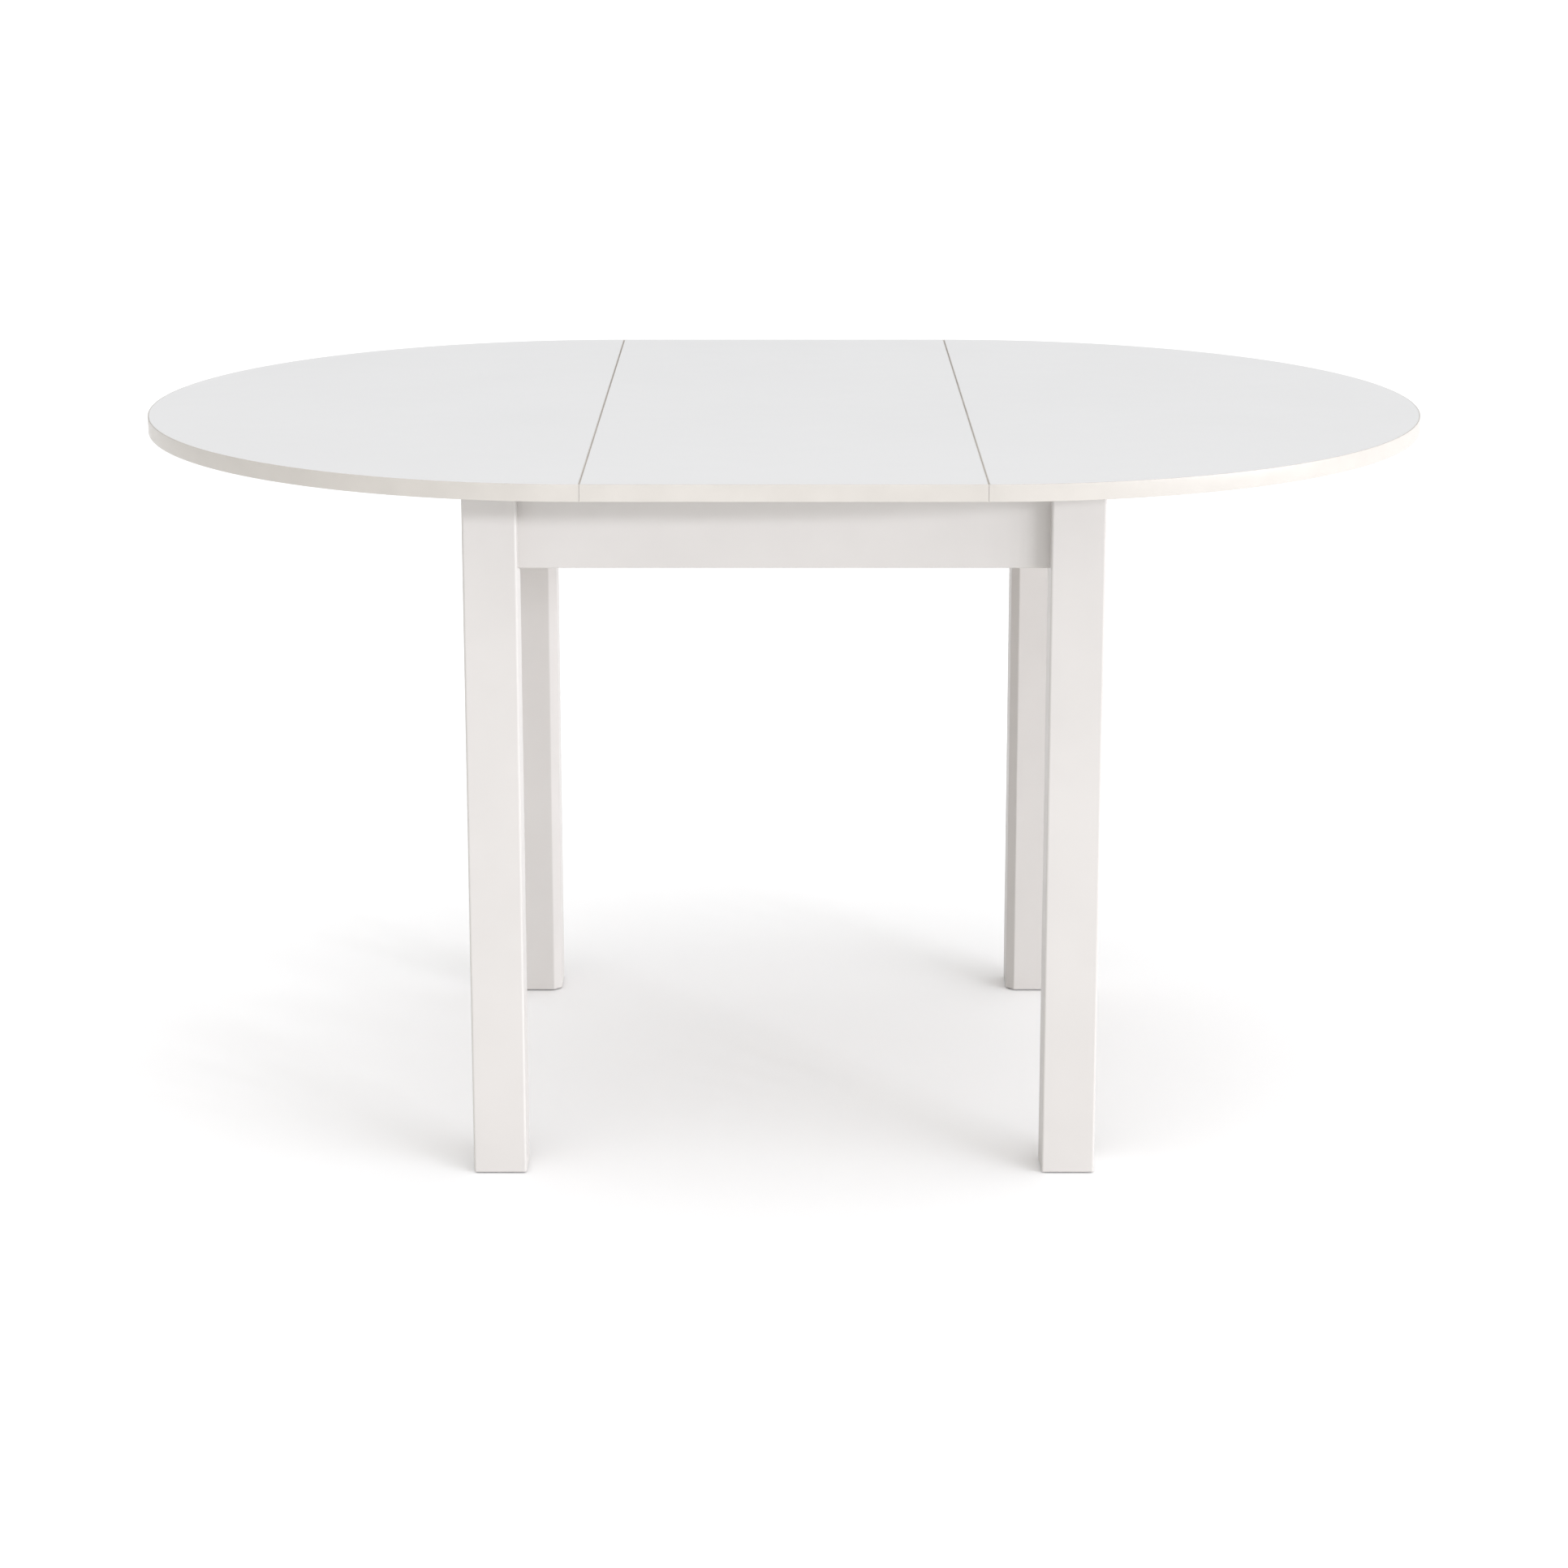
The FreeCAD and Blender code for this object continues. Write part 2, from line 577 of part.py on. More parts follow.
def left_half():
    """Every piece that slides with the left half, by its own name."""
    runner_screws = []
    holes = []
    pieces = {}
    for name, face in runner_faces().items():
        pieces["runner_" + name] = runner(face)
        screws, shank_holes, _ = runner_screw_set(face)
        runner_screws += screws
        holes += shank_holes
    cleat_screws, cleat_holes, _ = cleat_screw_set()
    posts = [(-SEAM_X - LATCH_SETBACK, y) for y in (-LATCH_OFFSET, LATCH_OFFSET)]
    holes += cleat_holes + [shoulder_hole(*place) for place in posts]
    pieces["top_panel"] = cut_all(half_core(), holes)
    pieces["edge_band"] = half_band()
    pieces["cleat"] = cleat()
    pieces["runner_screws"] = Part.makeCompound(runner_screws)
    pieces["cleat_screws"] = Part.makeCompound(cleat_screws)
    pieces["runner_stops"] = Part.makeCompound(runner_stops())
    pieces["latch_screws"] = Part.makeCompound([shoulder_screw(*place) for place in posts])
    return pieces


# ---- the leaf ----
def leaf_slab(inset):
    half_x = LEAF_WIDTH / 2 - inset
    half_y = TOP_RADIUS - inset
    return block((-half_x, half_x), (-half_y, half_y), (TOP_UNDERSIDE, TOTAL_HEIGHT))


def batten_screw_set():
    """The front batten's screws: as short as the cleats' screws, so their counterbores are deeper."""
    middle = -(APRON_INNER - BATTEN_CLEARANCE - BATTEN_WIDTH / 2)
    end = BATTEN_LENGTH / 2 - BATTEN_SCREW_INSET
    places = [(x, middle) for x in spread(-end, end, BATTEN_SCREW_COUNT)]
    depth = BATTEN_HEIGHT + SCREW_BITE - short_screw_length()
    return upward_screws(places, TOP_UNDERSIDE - BATTEN_HEIGHT, depth, short_screw_length())


def front_batten():
    """The batten that drops in just behind the front apron and keeps the leaf from sliding."""
    outer = -(APRON_INNER - BATTEN_CLEARANCE)
    span_x = (-BATTEN_LENGTH / 2, BATTEN_LENGTH / 2)
    bar = block(span_x, (outer, outer + BATTEN_WIDTH), (TOP_UNDERSIDE - BATTEN_HEIGHT, TOP_UNDERSIDE))
    bar = bar.makeChamfer(BATTEN_CHAMFER, edges_at_level(bar, TOP_UNDERSIDE - BATTEN_HEIGHT))
    _, holes, bores = batten_screw_set()
    return cut_all(bar, holes + bores)


def leaf():
    """Every piece of the leaf, by its own name."""
    screws, holes, _ = batten_screw_set()
    setback = SEAM_X - LATCH_SETBACK
    posts = [(-setback, y) for y in (-LATCH_OFFSET, LATCH_OFFSET)]
    pivots = [(setback, y) for y in (-LATCH_OFFSET, LATCH_OFFSET)]
    all_holes = [shoulder_hole(*place) for place in posts + pivots]
    for hole in holes:
        all_holes += front_and_back(hole)
    all_screws = []
    for screw in screws:
        all_screws += front_and_back(screw)
    front, back = front_and_back(front_batten())
    return {
        "panel": cut_all(leaf_slab(BAND_THICKNESS), all_holes),
        "edge_band": chamfered_slab(leaf_slab(0)).cut(leaf_slab(BAND_THICKNESS)),
        "batten_front": front,
        "batten_back": back,
        "batten_screws": Part.makeCompound(all_screws),
        "latch_posts": Part.makeCompound([shoulder_screw(*place) for place in posts]),
        "latch_pivots": Part.makeCompound([shoulder_screw(*place) for place in pivots]),
    }


# ---- the latches ----
def latch(pivot_x):
    """A front swivel latch, swung open: its hook points forwards, clear of the seam.

    Closed, it points to +X and its curved slot holds the post across the seam."""
    reach = 2 * LATCH_SETBACK
    low = (0, 0, LATCH_TOP - LATCH_THICKNESS)
    up = (0, 0, 1)
    levels = (low[2], LATCH_TOP)
    half_arm = LATCH_ARM_WIDTH / 2
    plate = block((0, reach), (-half_arm, half_arm), levels)
    plate = plate.fuse([
        rod(LATCH_EYE_RADIUS, low, up, LATCH_THICKNESS),
        rod(LATCH_HOOK_RADIUS, (reach, 0, low[2]), up, LATCH_THICKNESS),
        rod(LATCH_TAIL_RADIUS, (-LATCH_TAIL_LENGTH, 0, low[2]), up, LATCH_THICKNESS),
        block((-LATCH_TAIL_LENGTH, 0), (-LATCH_TAIL_RADIUS, LATCH_TAIL_RADIUS), levels),
    ]).removeSplitter()
    half_slot = SHOULDER_RADIUS + POST_PLAY
    swing = math.degrees(2 * LATCH_HOOK_RADIUS / reach)
    corner = FreeCAD.Vector(*low)
    slot = Part.makeCylinder(reach + half_slot, LATCH_THICKNESS, corner, Z_AXIS, swing)
    slot = slot.cut(Part.makeCylinder(reach - half_slot, LATCH_THICKNESS, corner, Z_AXIS, 360))
    slot_end = rod(half_slot, (reach, 0, low[2]), up, LATCH_THICKNESS)
    pivot_hole = rod(SHOULDER_RADIUS + PIVOT_PLAY, low, up, LATCH_THICKNESS)
    plate = cut_all(plate, [slot.fuse(slot_end), pivot_hole])
    plate.rotate(ORIGIN, Z_AXIS, -90)
    plate.translate(FreeCAD.Vector(pivot_x, -LATCH_OFFSET, 0))
    return plate


# ---- the whole table ----
def frame_pieces():
    """Every piece of the fixed frame, by its node's name."""
    pieces = {}
    for corner, shape in four_ways(leg()).items():
        pieces["leg_" + corner] = shape
    for corner, shape in four_ways(bracket()).items():
        pieces["corner_bracket_" + corner] = shape
    pieces["apron_front"], pieces["apron_back"] = front_and_back(front_apron())
    pieces["apron_left"] = left_apron()
    pieces["apron_right"] = turned(pieces["apron_left"])
    pieces["guide_rail_front"], pieces["guide_rail_back"] = front_and_back(front_guide_rail())
    one_corner = {
        "hanger_bolts": [hanger_bolt()],
        "bracket_washers": [washer()],
        "bracket_nuts": [nut()],
        "bracket_screws": bracket_screws(),
        "apron_dowels": dowels(),
        "foot_glides": [glide()],
    }
    for name, shapes in one_corner.items():
        copies = [copy for shape in shapes for copy in four_ways(shape).values()]
        pieces[name] = Part.makeCompound(copies)
    pieces["guide_screws"] = Part.makeCompound(guide_screws())
    pieces["guide_stops"] = Part.makeCompound(guide_stops())
    pieces["leaf_pads"] = Part.makeCompound(leaf_pads())
    return pieces


def table():
    """Every node of the table."""
    nodes = frame_pieces()
    for name, shape in left_half().items():
        nodes["left_" + name] = shape
        nodes["right_" + name] = turned(shape)
    for name, shape in leaf().items():
        nodes["leaf_" + name] = shape
    pivots = {"left": -SEAM_X - LATCH_SETBACK, "right": SEAM_X - LATCH_SETBACK}
    for seam, pivot_x in pivots.items():
        front, back = front_and_back(latch(pivot_x))
        nodes[seam + "_latch_front"] = front
        nodes[seam + "_latch_back"] = back
    return nodes


os.makedirs("parts", exist_ok=True)
for node, shape in table().items():
    shape.exportStep("parts/" + node + ".step")
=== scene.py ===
import math

import bpy
import numpy as np
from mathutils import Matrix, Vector


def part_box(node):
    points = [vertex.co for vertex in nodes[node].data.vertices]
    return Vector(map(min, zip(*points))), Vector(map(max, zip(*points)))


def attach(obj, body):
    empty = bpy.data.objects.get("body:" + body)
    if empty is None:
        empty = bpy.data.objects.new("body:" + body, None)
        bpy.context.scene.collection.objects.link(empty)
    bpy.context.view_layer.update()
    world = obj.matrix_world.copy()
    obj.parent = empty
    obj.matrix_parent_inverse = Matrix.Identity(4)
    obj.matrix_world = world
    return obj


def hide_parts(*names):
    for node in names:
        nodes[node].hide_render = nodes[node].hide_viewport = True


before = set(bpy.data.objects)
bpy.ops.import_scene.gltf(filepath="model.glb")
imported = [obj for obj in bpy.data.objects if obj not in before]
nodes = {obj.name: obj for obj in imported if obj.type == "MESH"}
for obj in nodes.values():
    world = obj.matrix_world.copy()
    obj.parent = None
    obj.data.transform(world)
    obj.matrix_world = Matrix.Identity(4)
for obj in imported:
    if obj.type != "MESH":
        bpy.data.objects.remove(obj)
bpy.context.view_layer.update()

MM = 0.001
TURN = 2 * np.pi
SHARP_ANGLE = math.radians(38)  # between two faces, above which their edge stays crisp

# ---- edge bands, in millimetres ----
BAND_THICKNESS = 1.0
BAND_ARRIS_RADIUS = 0.4
ARRIS_STEPS = 6
BAND_STEP = math.radians(0.5)  # round the curve

# ---- corner fixings ----
BOLT_PITCH = 1.25
BOLT_THREAD_DEPTH = 0.7
BOLT_END_CHAMFER = 1.0
BOLT_SIDES = 32
BOLT_RINGS_PER_PITCH = 6
NUT_ACROSS_FLATS = 13.0
NUT_THICKNESS = 6.5
NUT_BORE_RADIUS = 4.0
NUT_CHAMFER_RADIUS = 6.6  # where the chamfer begins on each end face
NUT_CHAMFER_ANGLE = math.radians(30)
NUT_SIDES = 72

# ---- screws ----
SCREW_SHANK_RADIUS = 2.0
SCREW_HEAD_HEIGHT = 2.4
SCREW_RECESS = (2.3, 0.55, 1.2)  # half length, half width and depth of the cross
POST_SHOULDER = (3.0, 3.5)  # radius and length
POST_THREAD_RADIUS = 2.0
POST_HEAD_HEIGHT = 2.5
POST_RECESS = (3.4, 0.75, 1.3)
SCREW_TIP_RADIUS = 0.2
SCREW_SIDES = 56
HEAD_FACE_RINGS = 18
HEAD_CENTRE_SHARE = 0.02  # of the face's radius, where its innermost ring lies
HEAD_RIM_SHARE = 0.35  # of the head's height, the radius that rounds its rim
HEAD_RIM_STEPS = 5
HEAD_RIM_DROP = 1.2  # of the rim's radius, from the head's face to the rim's end
HEAD_DOME_SHARE = 0.35  # of the rim's radius
RECESS_STEEPNESS = 4  # of the recess's walls, per millimetre

# ---- pads and glides ----
PAD_CORNER_RADIUS = 3.0
PAD_CORNER_STEPS = 24
PAD_LEVELS = (-0.5, -0.48, -0.42, -0.3, 0.3, 0.42, 0.48, 0.5)  # of the thickness, from the middle
PAD_WIDTHS = (0.86, 0.95, 0.985, 1, 1, 0.985, 0.95, 0.86)  # of the full width, at those levels
PAD_WAVER = 0.012  # of the outline
PAD_WAVER_STEP = 2.4  # radians from one point of the outline to the next
GLIDE_DISC = (10.0, 1.5)  # radius and thickness
GLIDE_FOOT_SHARE = 0.88  # of the radius, flat on the floor
GLIDE_EDGE_SHARE = 0.6  # of the thickness, taken by the rounded edge
GLIDE_EDGE_STEPS = 9
GLIDE_NAIL = (1.25, 0.1, 2.0)  # radius, tip radius and length of the point
GLIDE_SIDES = 40


# ---- reading the frame ----
def vertices(name):
    """Every corner of a CAD node, in metres."""
    mesh = nodes[name].data
    points = np.empty(len(mesh.vertices) * 3)
    mesh.vertices.foreach_get("co", points)
    return points.reshape(-1, 3)


def solids(name):
    """The centre and the size of each solid in a CAD node, in millimetres.

    Every corner starts with a number of its own, and corners that share a triangle take the smallest
    of their numbers until nothing changes: then a number stands for a solid."""
    points = vertices(name) / MM
    mesh = nodes[name].data
    index = np.empty(len(mesh.loops), int)
    mesh.loops.foreach_get("vertex_index", index)
    _, place = np.unique(np.round(points, 3), axis=0, return_inverse=True)
    triangles = place.ravel()[index].reshape(-1, 3)
    number = np.arange(len(points))
    settled = False
    while not settled:
        lowest = number.copy()
        np.minimum.at(lowest, triangles, number[triangles].min(1, keepdims=True))
        lowest = lowest[lowest]
        settled = bool((lowest == number).all())
        number = lowest
    owner = number[place.ravel()]
    found = []
    for solid in np.unique(owner):
        own = points[owner == solid]
        found.append(((own.min(0) + own.max(0)) / 2, np.ptp(own, axis=0)))
    return found


# ---- making pieces ----
def ring_faces(count, sides, loop):
    """Four-sided faces between neighbouring rings of a skin, the ends closed by a face each."""
    ring, side = np.meshgrid(np.arange(count if loop else count - 1), np.arange(sides), indexing="ij")
    after = (ring + 1) % count
    beside = (side + 1) % sides
    corners = [ring * sides + side, ring * sides + beside, after * sides + beside, after * sides + side]
    faces = np.stack(corners, -1).reshape(-1, 4).tolist()
    if not loop:
        faces.append(list(range(sides - 1, -1, -1)))
        faces.append(list(range((count - 1) * sides, count * sides)))
    return faces


def skin(name, copies, loop, body, slot, material, *replaced):
    """A piece made of closed skins: each copy is an array of rings of points, in millimetres.

    Rings run along the skin, and the points of a ring run anticlockwise seen from its far end."""
    points = []
    faces = []
    for rings in copies:
        count, sides = rings.shape[:2]
        start = len(points) * count * sides
        faces += [[corner + start for corner in face] for face in ring_faces(count, sides, loop)]
        points.append(rings.reshape(-1, 3))
    mesh = bpy.data.meshes.new(name)
    mesh.from_pydata((np.concatenate(points) * MM).tolist(), [], faces)
    mesh.shade_smooth()
    mesh.set_sharp_from_angle(angle=SHARP_ANGLE)
    mesh.materials.append(material)
    piece = bpy.data.objects.new(name, mesh)
    bpy.context.scene.collection.objects.link(piece)
    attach(piece, body)
    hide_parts(*replaced)
    return piece


def along(rings, origin, axis):
    """Rings drawn about the Z axis, turned to run along an axis from an origin."""
    forward = Vector(axis).normalized()
    turn = np.array(forward.to_track_quat("Z", "Y").to_matrix())
    return rings @ turn.T + np.array(origin)


def quarter_turned(rings, quarters):
    """Rings turned round the table's middle by a number of quarter turns."""
    angle = quarters * TURN / 4
    cosine, sine = math.cos(angle), math.sin(angle)
    turn = np.array([[cosine, -sine, 0], [sine, cosine, 0], [0, 0, 1]])
    return rings @ turn.T


def revolved(radii, heights, sides):
    """Rings of a turned shape: at each height, a circle of that radius."""
    angle = np.arange(sides) * TURN / sides
    radius = np.asarray(radii, float)[:, None]
    level = np.broadcast_to(np.asarray(heights, float)[:, None], (len(radius), sides))
    return np.stack([radius * np.cos(angle), radius * np.sin(angle), level], -1)


# ---- edge bands ----
def band_profile(height):
    """The band's section as depth from its outer face and height: square at the back, and a quarter
    circle of the arris radius at each outer edge."""
    quarter = np.linspace(0, TURN / 4, ARRIS_STEPS)
    depth = BAND_ARRIS_RADIUS * (1 - np.cos(quarter))
    lift = BAND_ARRIS_RADIUS * (1 - np.sin(quarter))
    depths = np.concatenate([[BAND_THICKNESS], depth[::-1], depth, [BAND_THICKNESS]])
    levels = np.concatenate([[height], height - lift[::-1], lift, [0]])
    return depths, levels


def half_band(side, material):
    """The band of a half-round top, carried round its outline.

    At a depth d from the outer face the outline is an arc of radius R - d, whose ends stop where it
    meets the seam face moved in by d: the sine of the angle left out at each end is d / (R - d)."""
    low, high = (np.array(corner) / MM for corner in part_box(side + "_edge_band"))
    radius = (high[1] - low[1]) / 2
    turned = side == "right"
    seam_x = -low[0] if turned else high[0]
    depths, levels = band_profile(high[2] - low[2])
    inset = radius - depths
    left_out = np.arcsin(depths / inset)
    share = np.linspace(0, 1, int(np.pi / BAND_STEP) + 1)[:, None]
    angle = TURN / 4 + left_out + share * (np.pi - 2 * left_out)
    x = seam_x + inset * np.cos(angle)
    rings = np.stack([x, inset * np.sin(angle), np.broadcast_to(low[2] + levels, angle.shape)], -1)
    rings = quarter_turned(rings, 2) if turned else rings
    node = side + "_edge_band"
    skin(node + "_eased", [rings], True, side + "_half", "edge_banding", material, node)


def leaf_band(material):
    """The leaf's band: the same section carried round a rectangle, mitred at its four corners."""
    low, high = (np.array(corner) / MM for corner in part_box("leaf_edge_band"))
    depths, levels = band_profile(high[2] - low[2])
    signs = np.array([[1, 1], [-1, 1], [-1, -1], [1, -1]])
    x = signs[:, :1] * (high[0] - depths)
    y = signs[:, 1:] * (high[1] - depths)
    rings = np.stack([x, y, np.broadcast_to(low[2] + levels, x.shape)], -1)
    skin("leaf_edge_band_eased", [rings], True, "leaf", "edge_banding", material, "leaf_edge_band")


# ---- corner fixings ----
def hanger_bolts(material):
    """Four threaded studs. The radius falls below the full one by a triangle wave of the height in
    pitches minus the angle in turns, which draws a helical thread, and each end is chamfered."""
    copies = []
    for centre, size in solids("hanger_bolts"):
        radius = size[2] / 2
        length = size[0] * math.sqrt(2) - 2 * radius
        inward = -centre * (1, 1, 0)
        count = int(length / BOLT_PITCH * BOLT_RINGS_PER_PITCH)
        height = np.linspace(0, length, count)[:, None]
        angle = np.arange(BOLT_SIDES) * TURN / BOLT_SIDES
        wave = np.abs(2 * np.mod(height / BOLT_PITCH - angle / TURN, 1) - 1)
        from_end = np.minimum(height, length - height)
        limit = radius - BOLT_END_CHAMFER + np.minimum(from_end, BOLT_END_CHAMFER)
        reach = np.minimum(radius - BOLT_THREAD_DEPTH * wave, limit)
        level = np.broadcast_to(height, reach.shape)
        rings = np.stack([reach * np.cos(angle), reach * np.sin(angle), level], -1)
        start = centre - inward / np.linalg.norm(inward) * length / 2
        copies.append(along(rings, start, inward))
    skin("hanger_bolts_threaded", copies, False, "frame", "zinc_plated_steel", material, "hanger_bolts")


def nuts(material):
    """Four hexagon nuts: at each angle the section is a strip from the bore out to the flat, whose
    distance is half the flats' width over the cosine of the angle to the nearest flat's middle, and
    its two outer corners are cut by a 30 degree cone."""
    angle = np.arange(NUT_SIDES) * TURN / NUT_SIDES
    sixth = TURN / 6
    to_flat = np.mod(angle + sixth / 2, sixth) - sixth / 2
    outer = NUT_ACROSS_FLATS / 2 / np.cos(to_flat)
    drop = np.maximum(outer - NUT_CHAMFER_RADIUS, 0) * math.tan(NUT_CHAMFER_ANGLE)
    shoulder = np.minimum(outer, NUT_CHAMFER_RADIUS)
    bore = np.full(NUT_SIDES, NUT_BORE_RADIUS)
    flat = np.full(NUT_SIDES, NUT_THICKNESS / 2)
    radii = np.stack([bore, shoulder, outer, outer, shoulder, bore])
    levels = np.stack([-flat, -flat, drop - flat, flat - drop, flat, flat])
    rings = np.stack([radii * np.cos(angle), radii * np.sin(angle), levels], -1)
    copies = [along(rings, centre, -centre * (1, 1, 0)) for centre, _ in solids("bracket_nuts")]
    skin("bracket_nuts_chamfered", copies, True, "frame", "zinc_plated_steel", material, "bracket_nuts")


# ---- screws, pads and glides ----
def headed_rings(head_radius, head_height, recess, shank):
    """Rings of a domed screw about the Z axis: the head's seat at zero, its face below, the shank up.

    The face is a height field: a shallow dome, as the square of the distance from the axis, less a
    recess that falls smoothly inside a cross of two bars. The shank is given as radii and heights."""
    half_length, half_width, depth = recess
    angle = np.arange(SCREW_SIDES) * TURN / SCREW_SIDES
    rim = head_height * HEAD_RIM_SHARE
    radius = np.linspace(HEAD_CENTRE_SHARE, 1, HEAD_FACE_RINGS)[:, None] * (head_radius - rim)
    x, y = np.abs(radius * np.cos(angle)), np.abs(radius * np.sin(angle))
    long, short = np.maximum(x, y), np.minimum(x, y)
    along_bar = np.clip((half_length - long) * RECESS_STEEPNESS, 0, 1)
    across_bar = np.clip((half_width - short) * RECESS_STEEPNESS + 0.5, 0, 1)
    inside = along_bar * across_bar
    dome = rim * HEAD_DOME_SHARE * (radius / head_radius) ** 2
    height = dome + depth * inside - head_height
    face = np.stack([radius * np.cos(angle), radius * np.sin(angle), height], -1)
    bend = np.linspace(0, TURN / 4, HEAD_RIM_STEPS)[1:]
    rim_radii = head_radius - rim + rim * np.sin(bend)
    rim_heights = rim * (HEAD_RIM_DROP - np.cos(bend)) - head_height
    radii = np.concatenate([rim_radii, [head_radius], shank[0]])
    heights = np.concatenate([rim_heights, [0], shank[1]])
    return np.concatenate([face, revolved(radii, heights, SCREW_SIDES)])


def driven(solid, toward):
    """Where a screw's axis starts, which way it is driven and how long it is, from its box."""
    centre, size = solid
    main = int(np.argmax(size))
    axis = np.zeros(3)
    axis[main] = toward if main == 2 else math.copysign(1, centre[main])
    return centre - axis * size[main] / 2, axis, size[main], np.delete(size, main).min() / 2


def wood_screws(node, body, toward, material):
    """Pan-head wood screws, one for each solid of a node: the shank tapers to its point over a
    length of one diameter."""
    copies = []
    for solid in solids(node):
        start, axis, length, head_radius = driven(solid, toward)
        end = length - SCREW_HEAD_HEIGHT
        taper = end - 2 * SCREW_SHANK_RADIUS
        shank = ([SCREW_SHANK_RADIUS, SCREW_SHANK_RADIUS, SCREW_TIP_RADIUS], [0, taper, end])
        rings = headed_rings(head_radius, SCREW_HEAD_HEIGHT, SCREW_RECESS, shank)
        copies.append(along(rings, start + axis * SCREW_HEAD_HEIGHT, axis))
    skin(node + "_pan_head", copies, False, body, "zinc_plated_steel", material, node)


def latch_posts(node, body, material):
    """Shoulder screws that the latches turn on and hook over: a domed head, a shoulder as long as
    the plate is thick with its play, and a thinner thread up into the top."""
    radius, shoulder = POST_SHOULDER
    copies = []
    for solid in solids(node):
        start, axis, length, head_radius = driven(solid, 1)
        end = length - POST_HEAD_HEIGHT
        radii = [radius, radius, POST_THREAD_RADIUS, POST_THREAD_RADIUS]
        shank = (radii, [0, shoulder, shoulder, end])
        rings = headed_rings(head_radius, POST_HEAD_HEIGHT, POST_RECESS, shank)
        copies.append(along(rings, start + axis * POST_HEAD_HEIGHT, axis))
    skin(node + "_domed", copies, False, body, "zinc_plated_steel", material, node)


def rounded_rectangle(width, height, radius, steps):
    """A rectangle's outline about its middle, each corner a quarter circle, anticlockwise."""
    quarter = np.linspace(0, TURN / 4, steps)
    angle = np.concatenate([quarter + i * TURN / 4 for i in range(4)])
    corner_x = np.repeat([1, -1, -1, 1], steps) * (width / 2 - radius)
    corner_y = np.repeat([1, 1, -1, -1], steps) * (height / 2 - radius)
    return corner_x + radius * np.cos(angle), corner_y + radius * np.sin(angle)


def felt_pads(material):
    """Four die-cut pads: a rounded rectangle whose outline draws in by a small sine of its place
    along the edge, with a soft upper and lower arris."""
    copies = []
    for centre, size in solids("leaf_pads"):
        x, y = rounded_rectangle(size[0], size[1], PAD_CORNER_RADIUS, PAD_CORNER_STEPS)
        waver = 1 - PAD_WAVER * (1 + np.sin(np.arange(len(x)) * PAD_WAVER_STEP))
        inset = (1 - np.array(PAD_WIDTHS)[:, None]) * size[1] / 2
        plan_x = (x - np.sign(x) * inset) * waver
        plan_y = (y - np.sign(y) * inset) * waver
        level = np.broadcast_to(np.array(PAD_LEVELS)[:, None] * size[2], plan_x.shape)
        copies.append(np.stack([plan_x, plan_y, level], -1) + centre)
    skin("leaf_pads_felt", copies, False, "frame", "felt", material, "leaf_pads")


def glides(material):
    """Four nail-on glides, turned shapes: a disc whose lower edge is a quarter ellipse, then the nail."""
    radius, thickness = GLIDE_DISC
    nail_radius, tip_radius, point_length = GLIDE_NAIL
    bend = np.linspace(0, TURN / 4, GLIDE_EDGE_STEPS)
    foot = radius * GLIDE_FOOT_SHARE + radius * (1 - GLIDE_FOOT_SHARE) * np.sin(bend)
    lift = thickness * GLIDE_EDGE_SHARE * (1 - np.cos(bend))
    copies = []
    for centre, size in solids("foot_glides"):
        tip = size[2]
        radii = np.concatenate([foot, [radius, nail_radius, nail_radius, tip_radius]])
        heights = np.concatenate([lift, [thickness, thickness, tip - point_length, tip]])
        rings = revolved(radii, heights, GLIDE_SIDES)
        copies.append(rings + (centre - (0, 0, tip / 2)))
    skin("foot_glides_domed", copies, False, "frame", "glide_plastic", material, "foot_glides")


# ---- materials ----
def linear(colour):
    """An sRGB hex colour as linear red, green, blue and alpha."""
    srgb = [int(colour[i:i + 2], 16) / 255 for i in (1, 3, 5)]
    return [c / 12.92 if c <= 0.04045 else ((c + 0.055) / 1.055) ** 2.4 for c in srgb] + [1.0]


def add_node(tree, kind, values=None, links=None, **settings):
    """Adds a node with its sockets' values, the sockets that other nodes feed, and its settings."""
    node = tree.nodes.new(kind)
    for name, setting in settings.items():
        setattr(node, name, setting)
    for socket, value in (values or {}).items():
        node.inputs[socket].default_value = value
    for socket, source in (links or {}).items():
        tree.links.new(source, node.inputs[socket])
    return node


def new_material(name, **shader_values):
    """A material with its shader's plain values set: its tree, its shader and its object space."""
    material = bpy.data.materials.new(name)
    material.use_nodes = True
    tree = material.node_tree
    tree.nodes.clear()
    values = {socket.replace("_", " "): value for socket, value in shader_values.items()}
    shader = add_node(tree, "ShaderNodeBsdfPrincipled", values)
    add_node(tree, "ShaderNodeOutputMaterial", links={"Surface": shader.outputs["BSDF"]})
    place = add_node(tree, "ShaderNodeTexCoord").outputs["Object"]
    return material, tree, shader, place


def per_mm(*sizes):
    """The scale that makes a pattern repeat at these real sizes, in millimetres."""
    scales = [1 / (size * MM) for size in sizes]
    return scales if len(scales) > 1 else scales[0]


def feed(tree, shader, colour, roughness, normal):
    """Joins a material's patterns to its shader."""
    for socket, source in (("Base Color", colour), ("Roughness", roughness), ("Normal", normal)):
        tree.links.new(source, shader.inputs[socket])


SPREAD = {"From Min": 0.3, "From Max": 0.7}  # the middle range that noise fills
SHARE, FIRST, SECOND = 0, 6, 7  # the inputs of a Mix node that mixes two colours
MIXED = 2  # its output


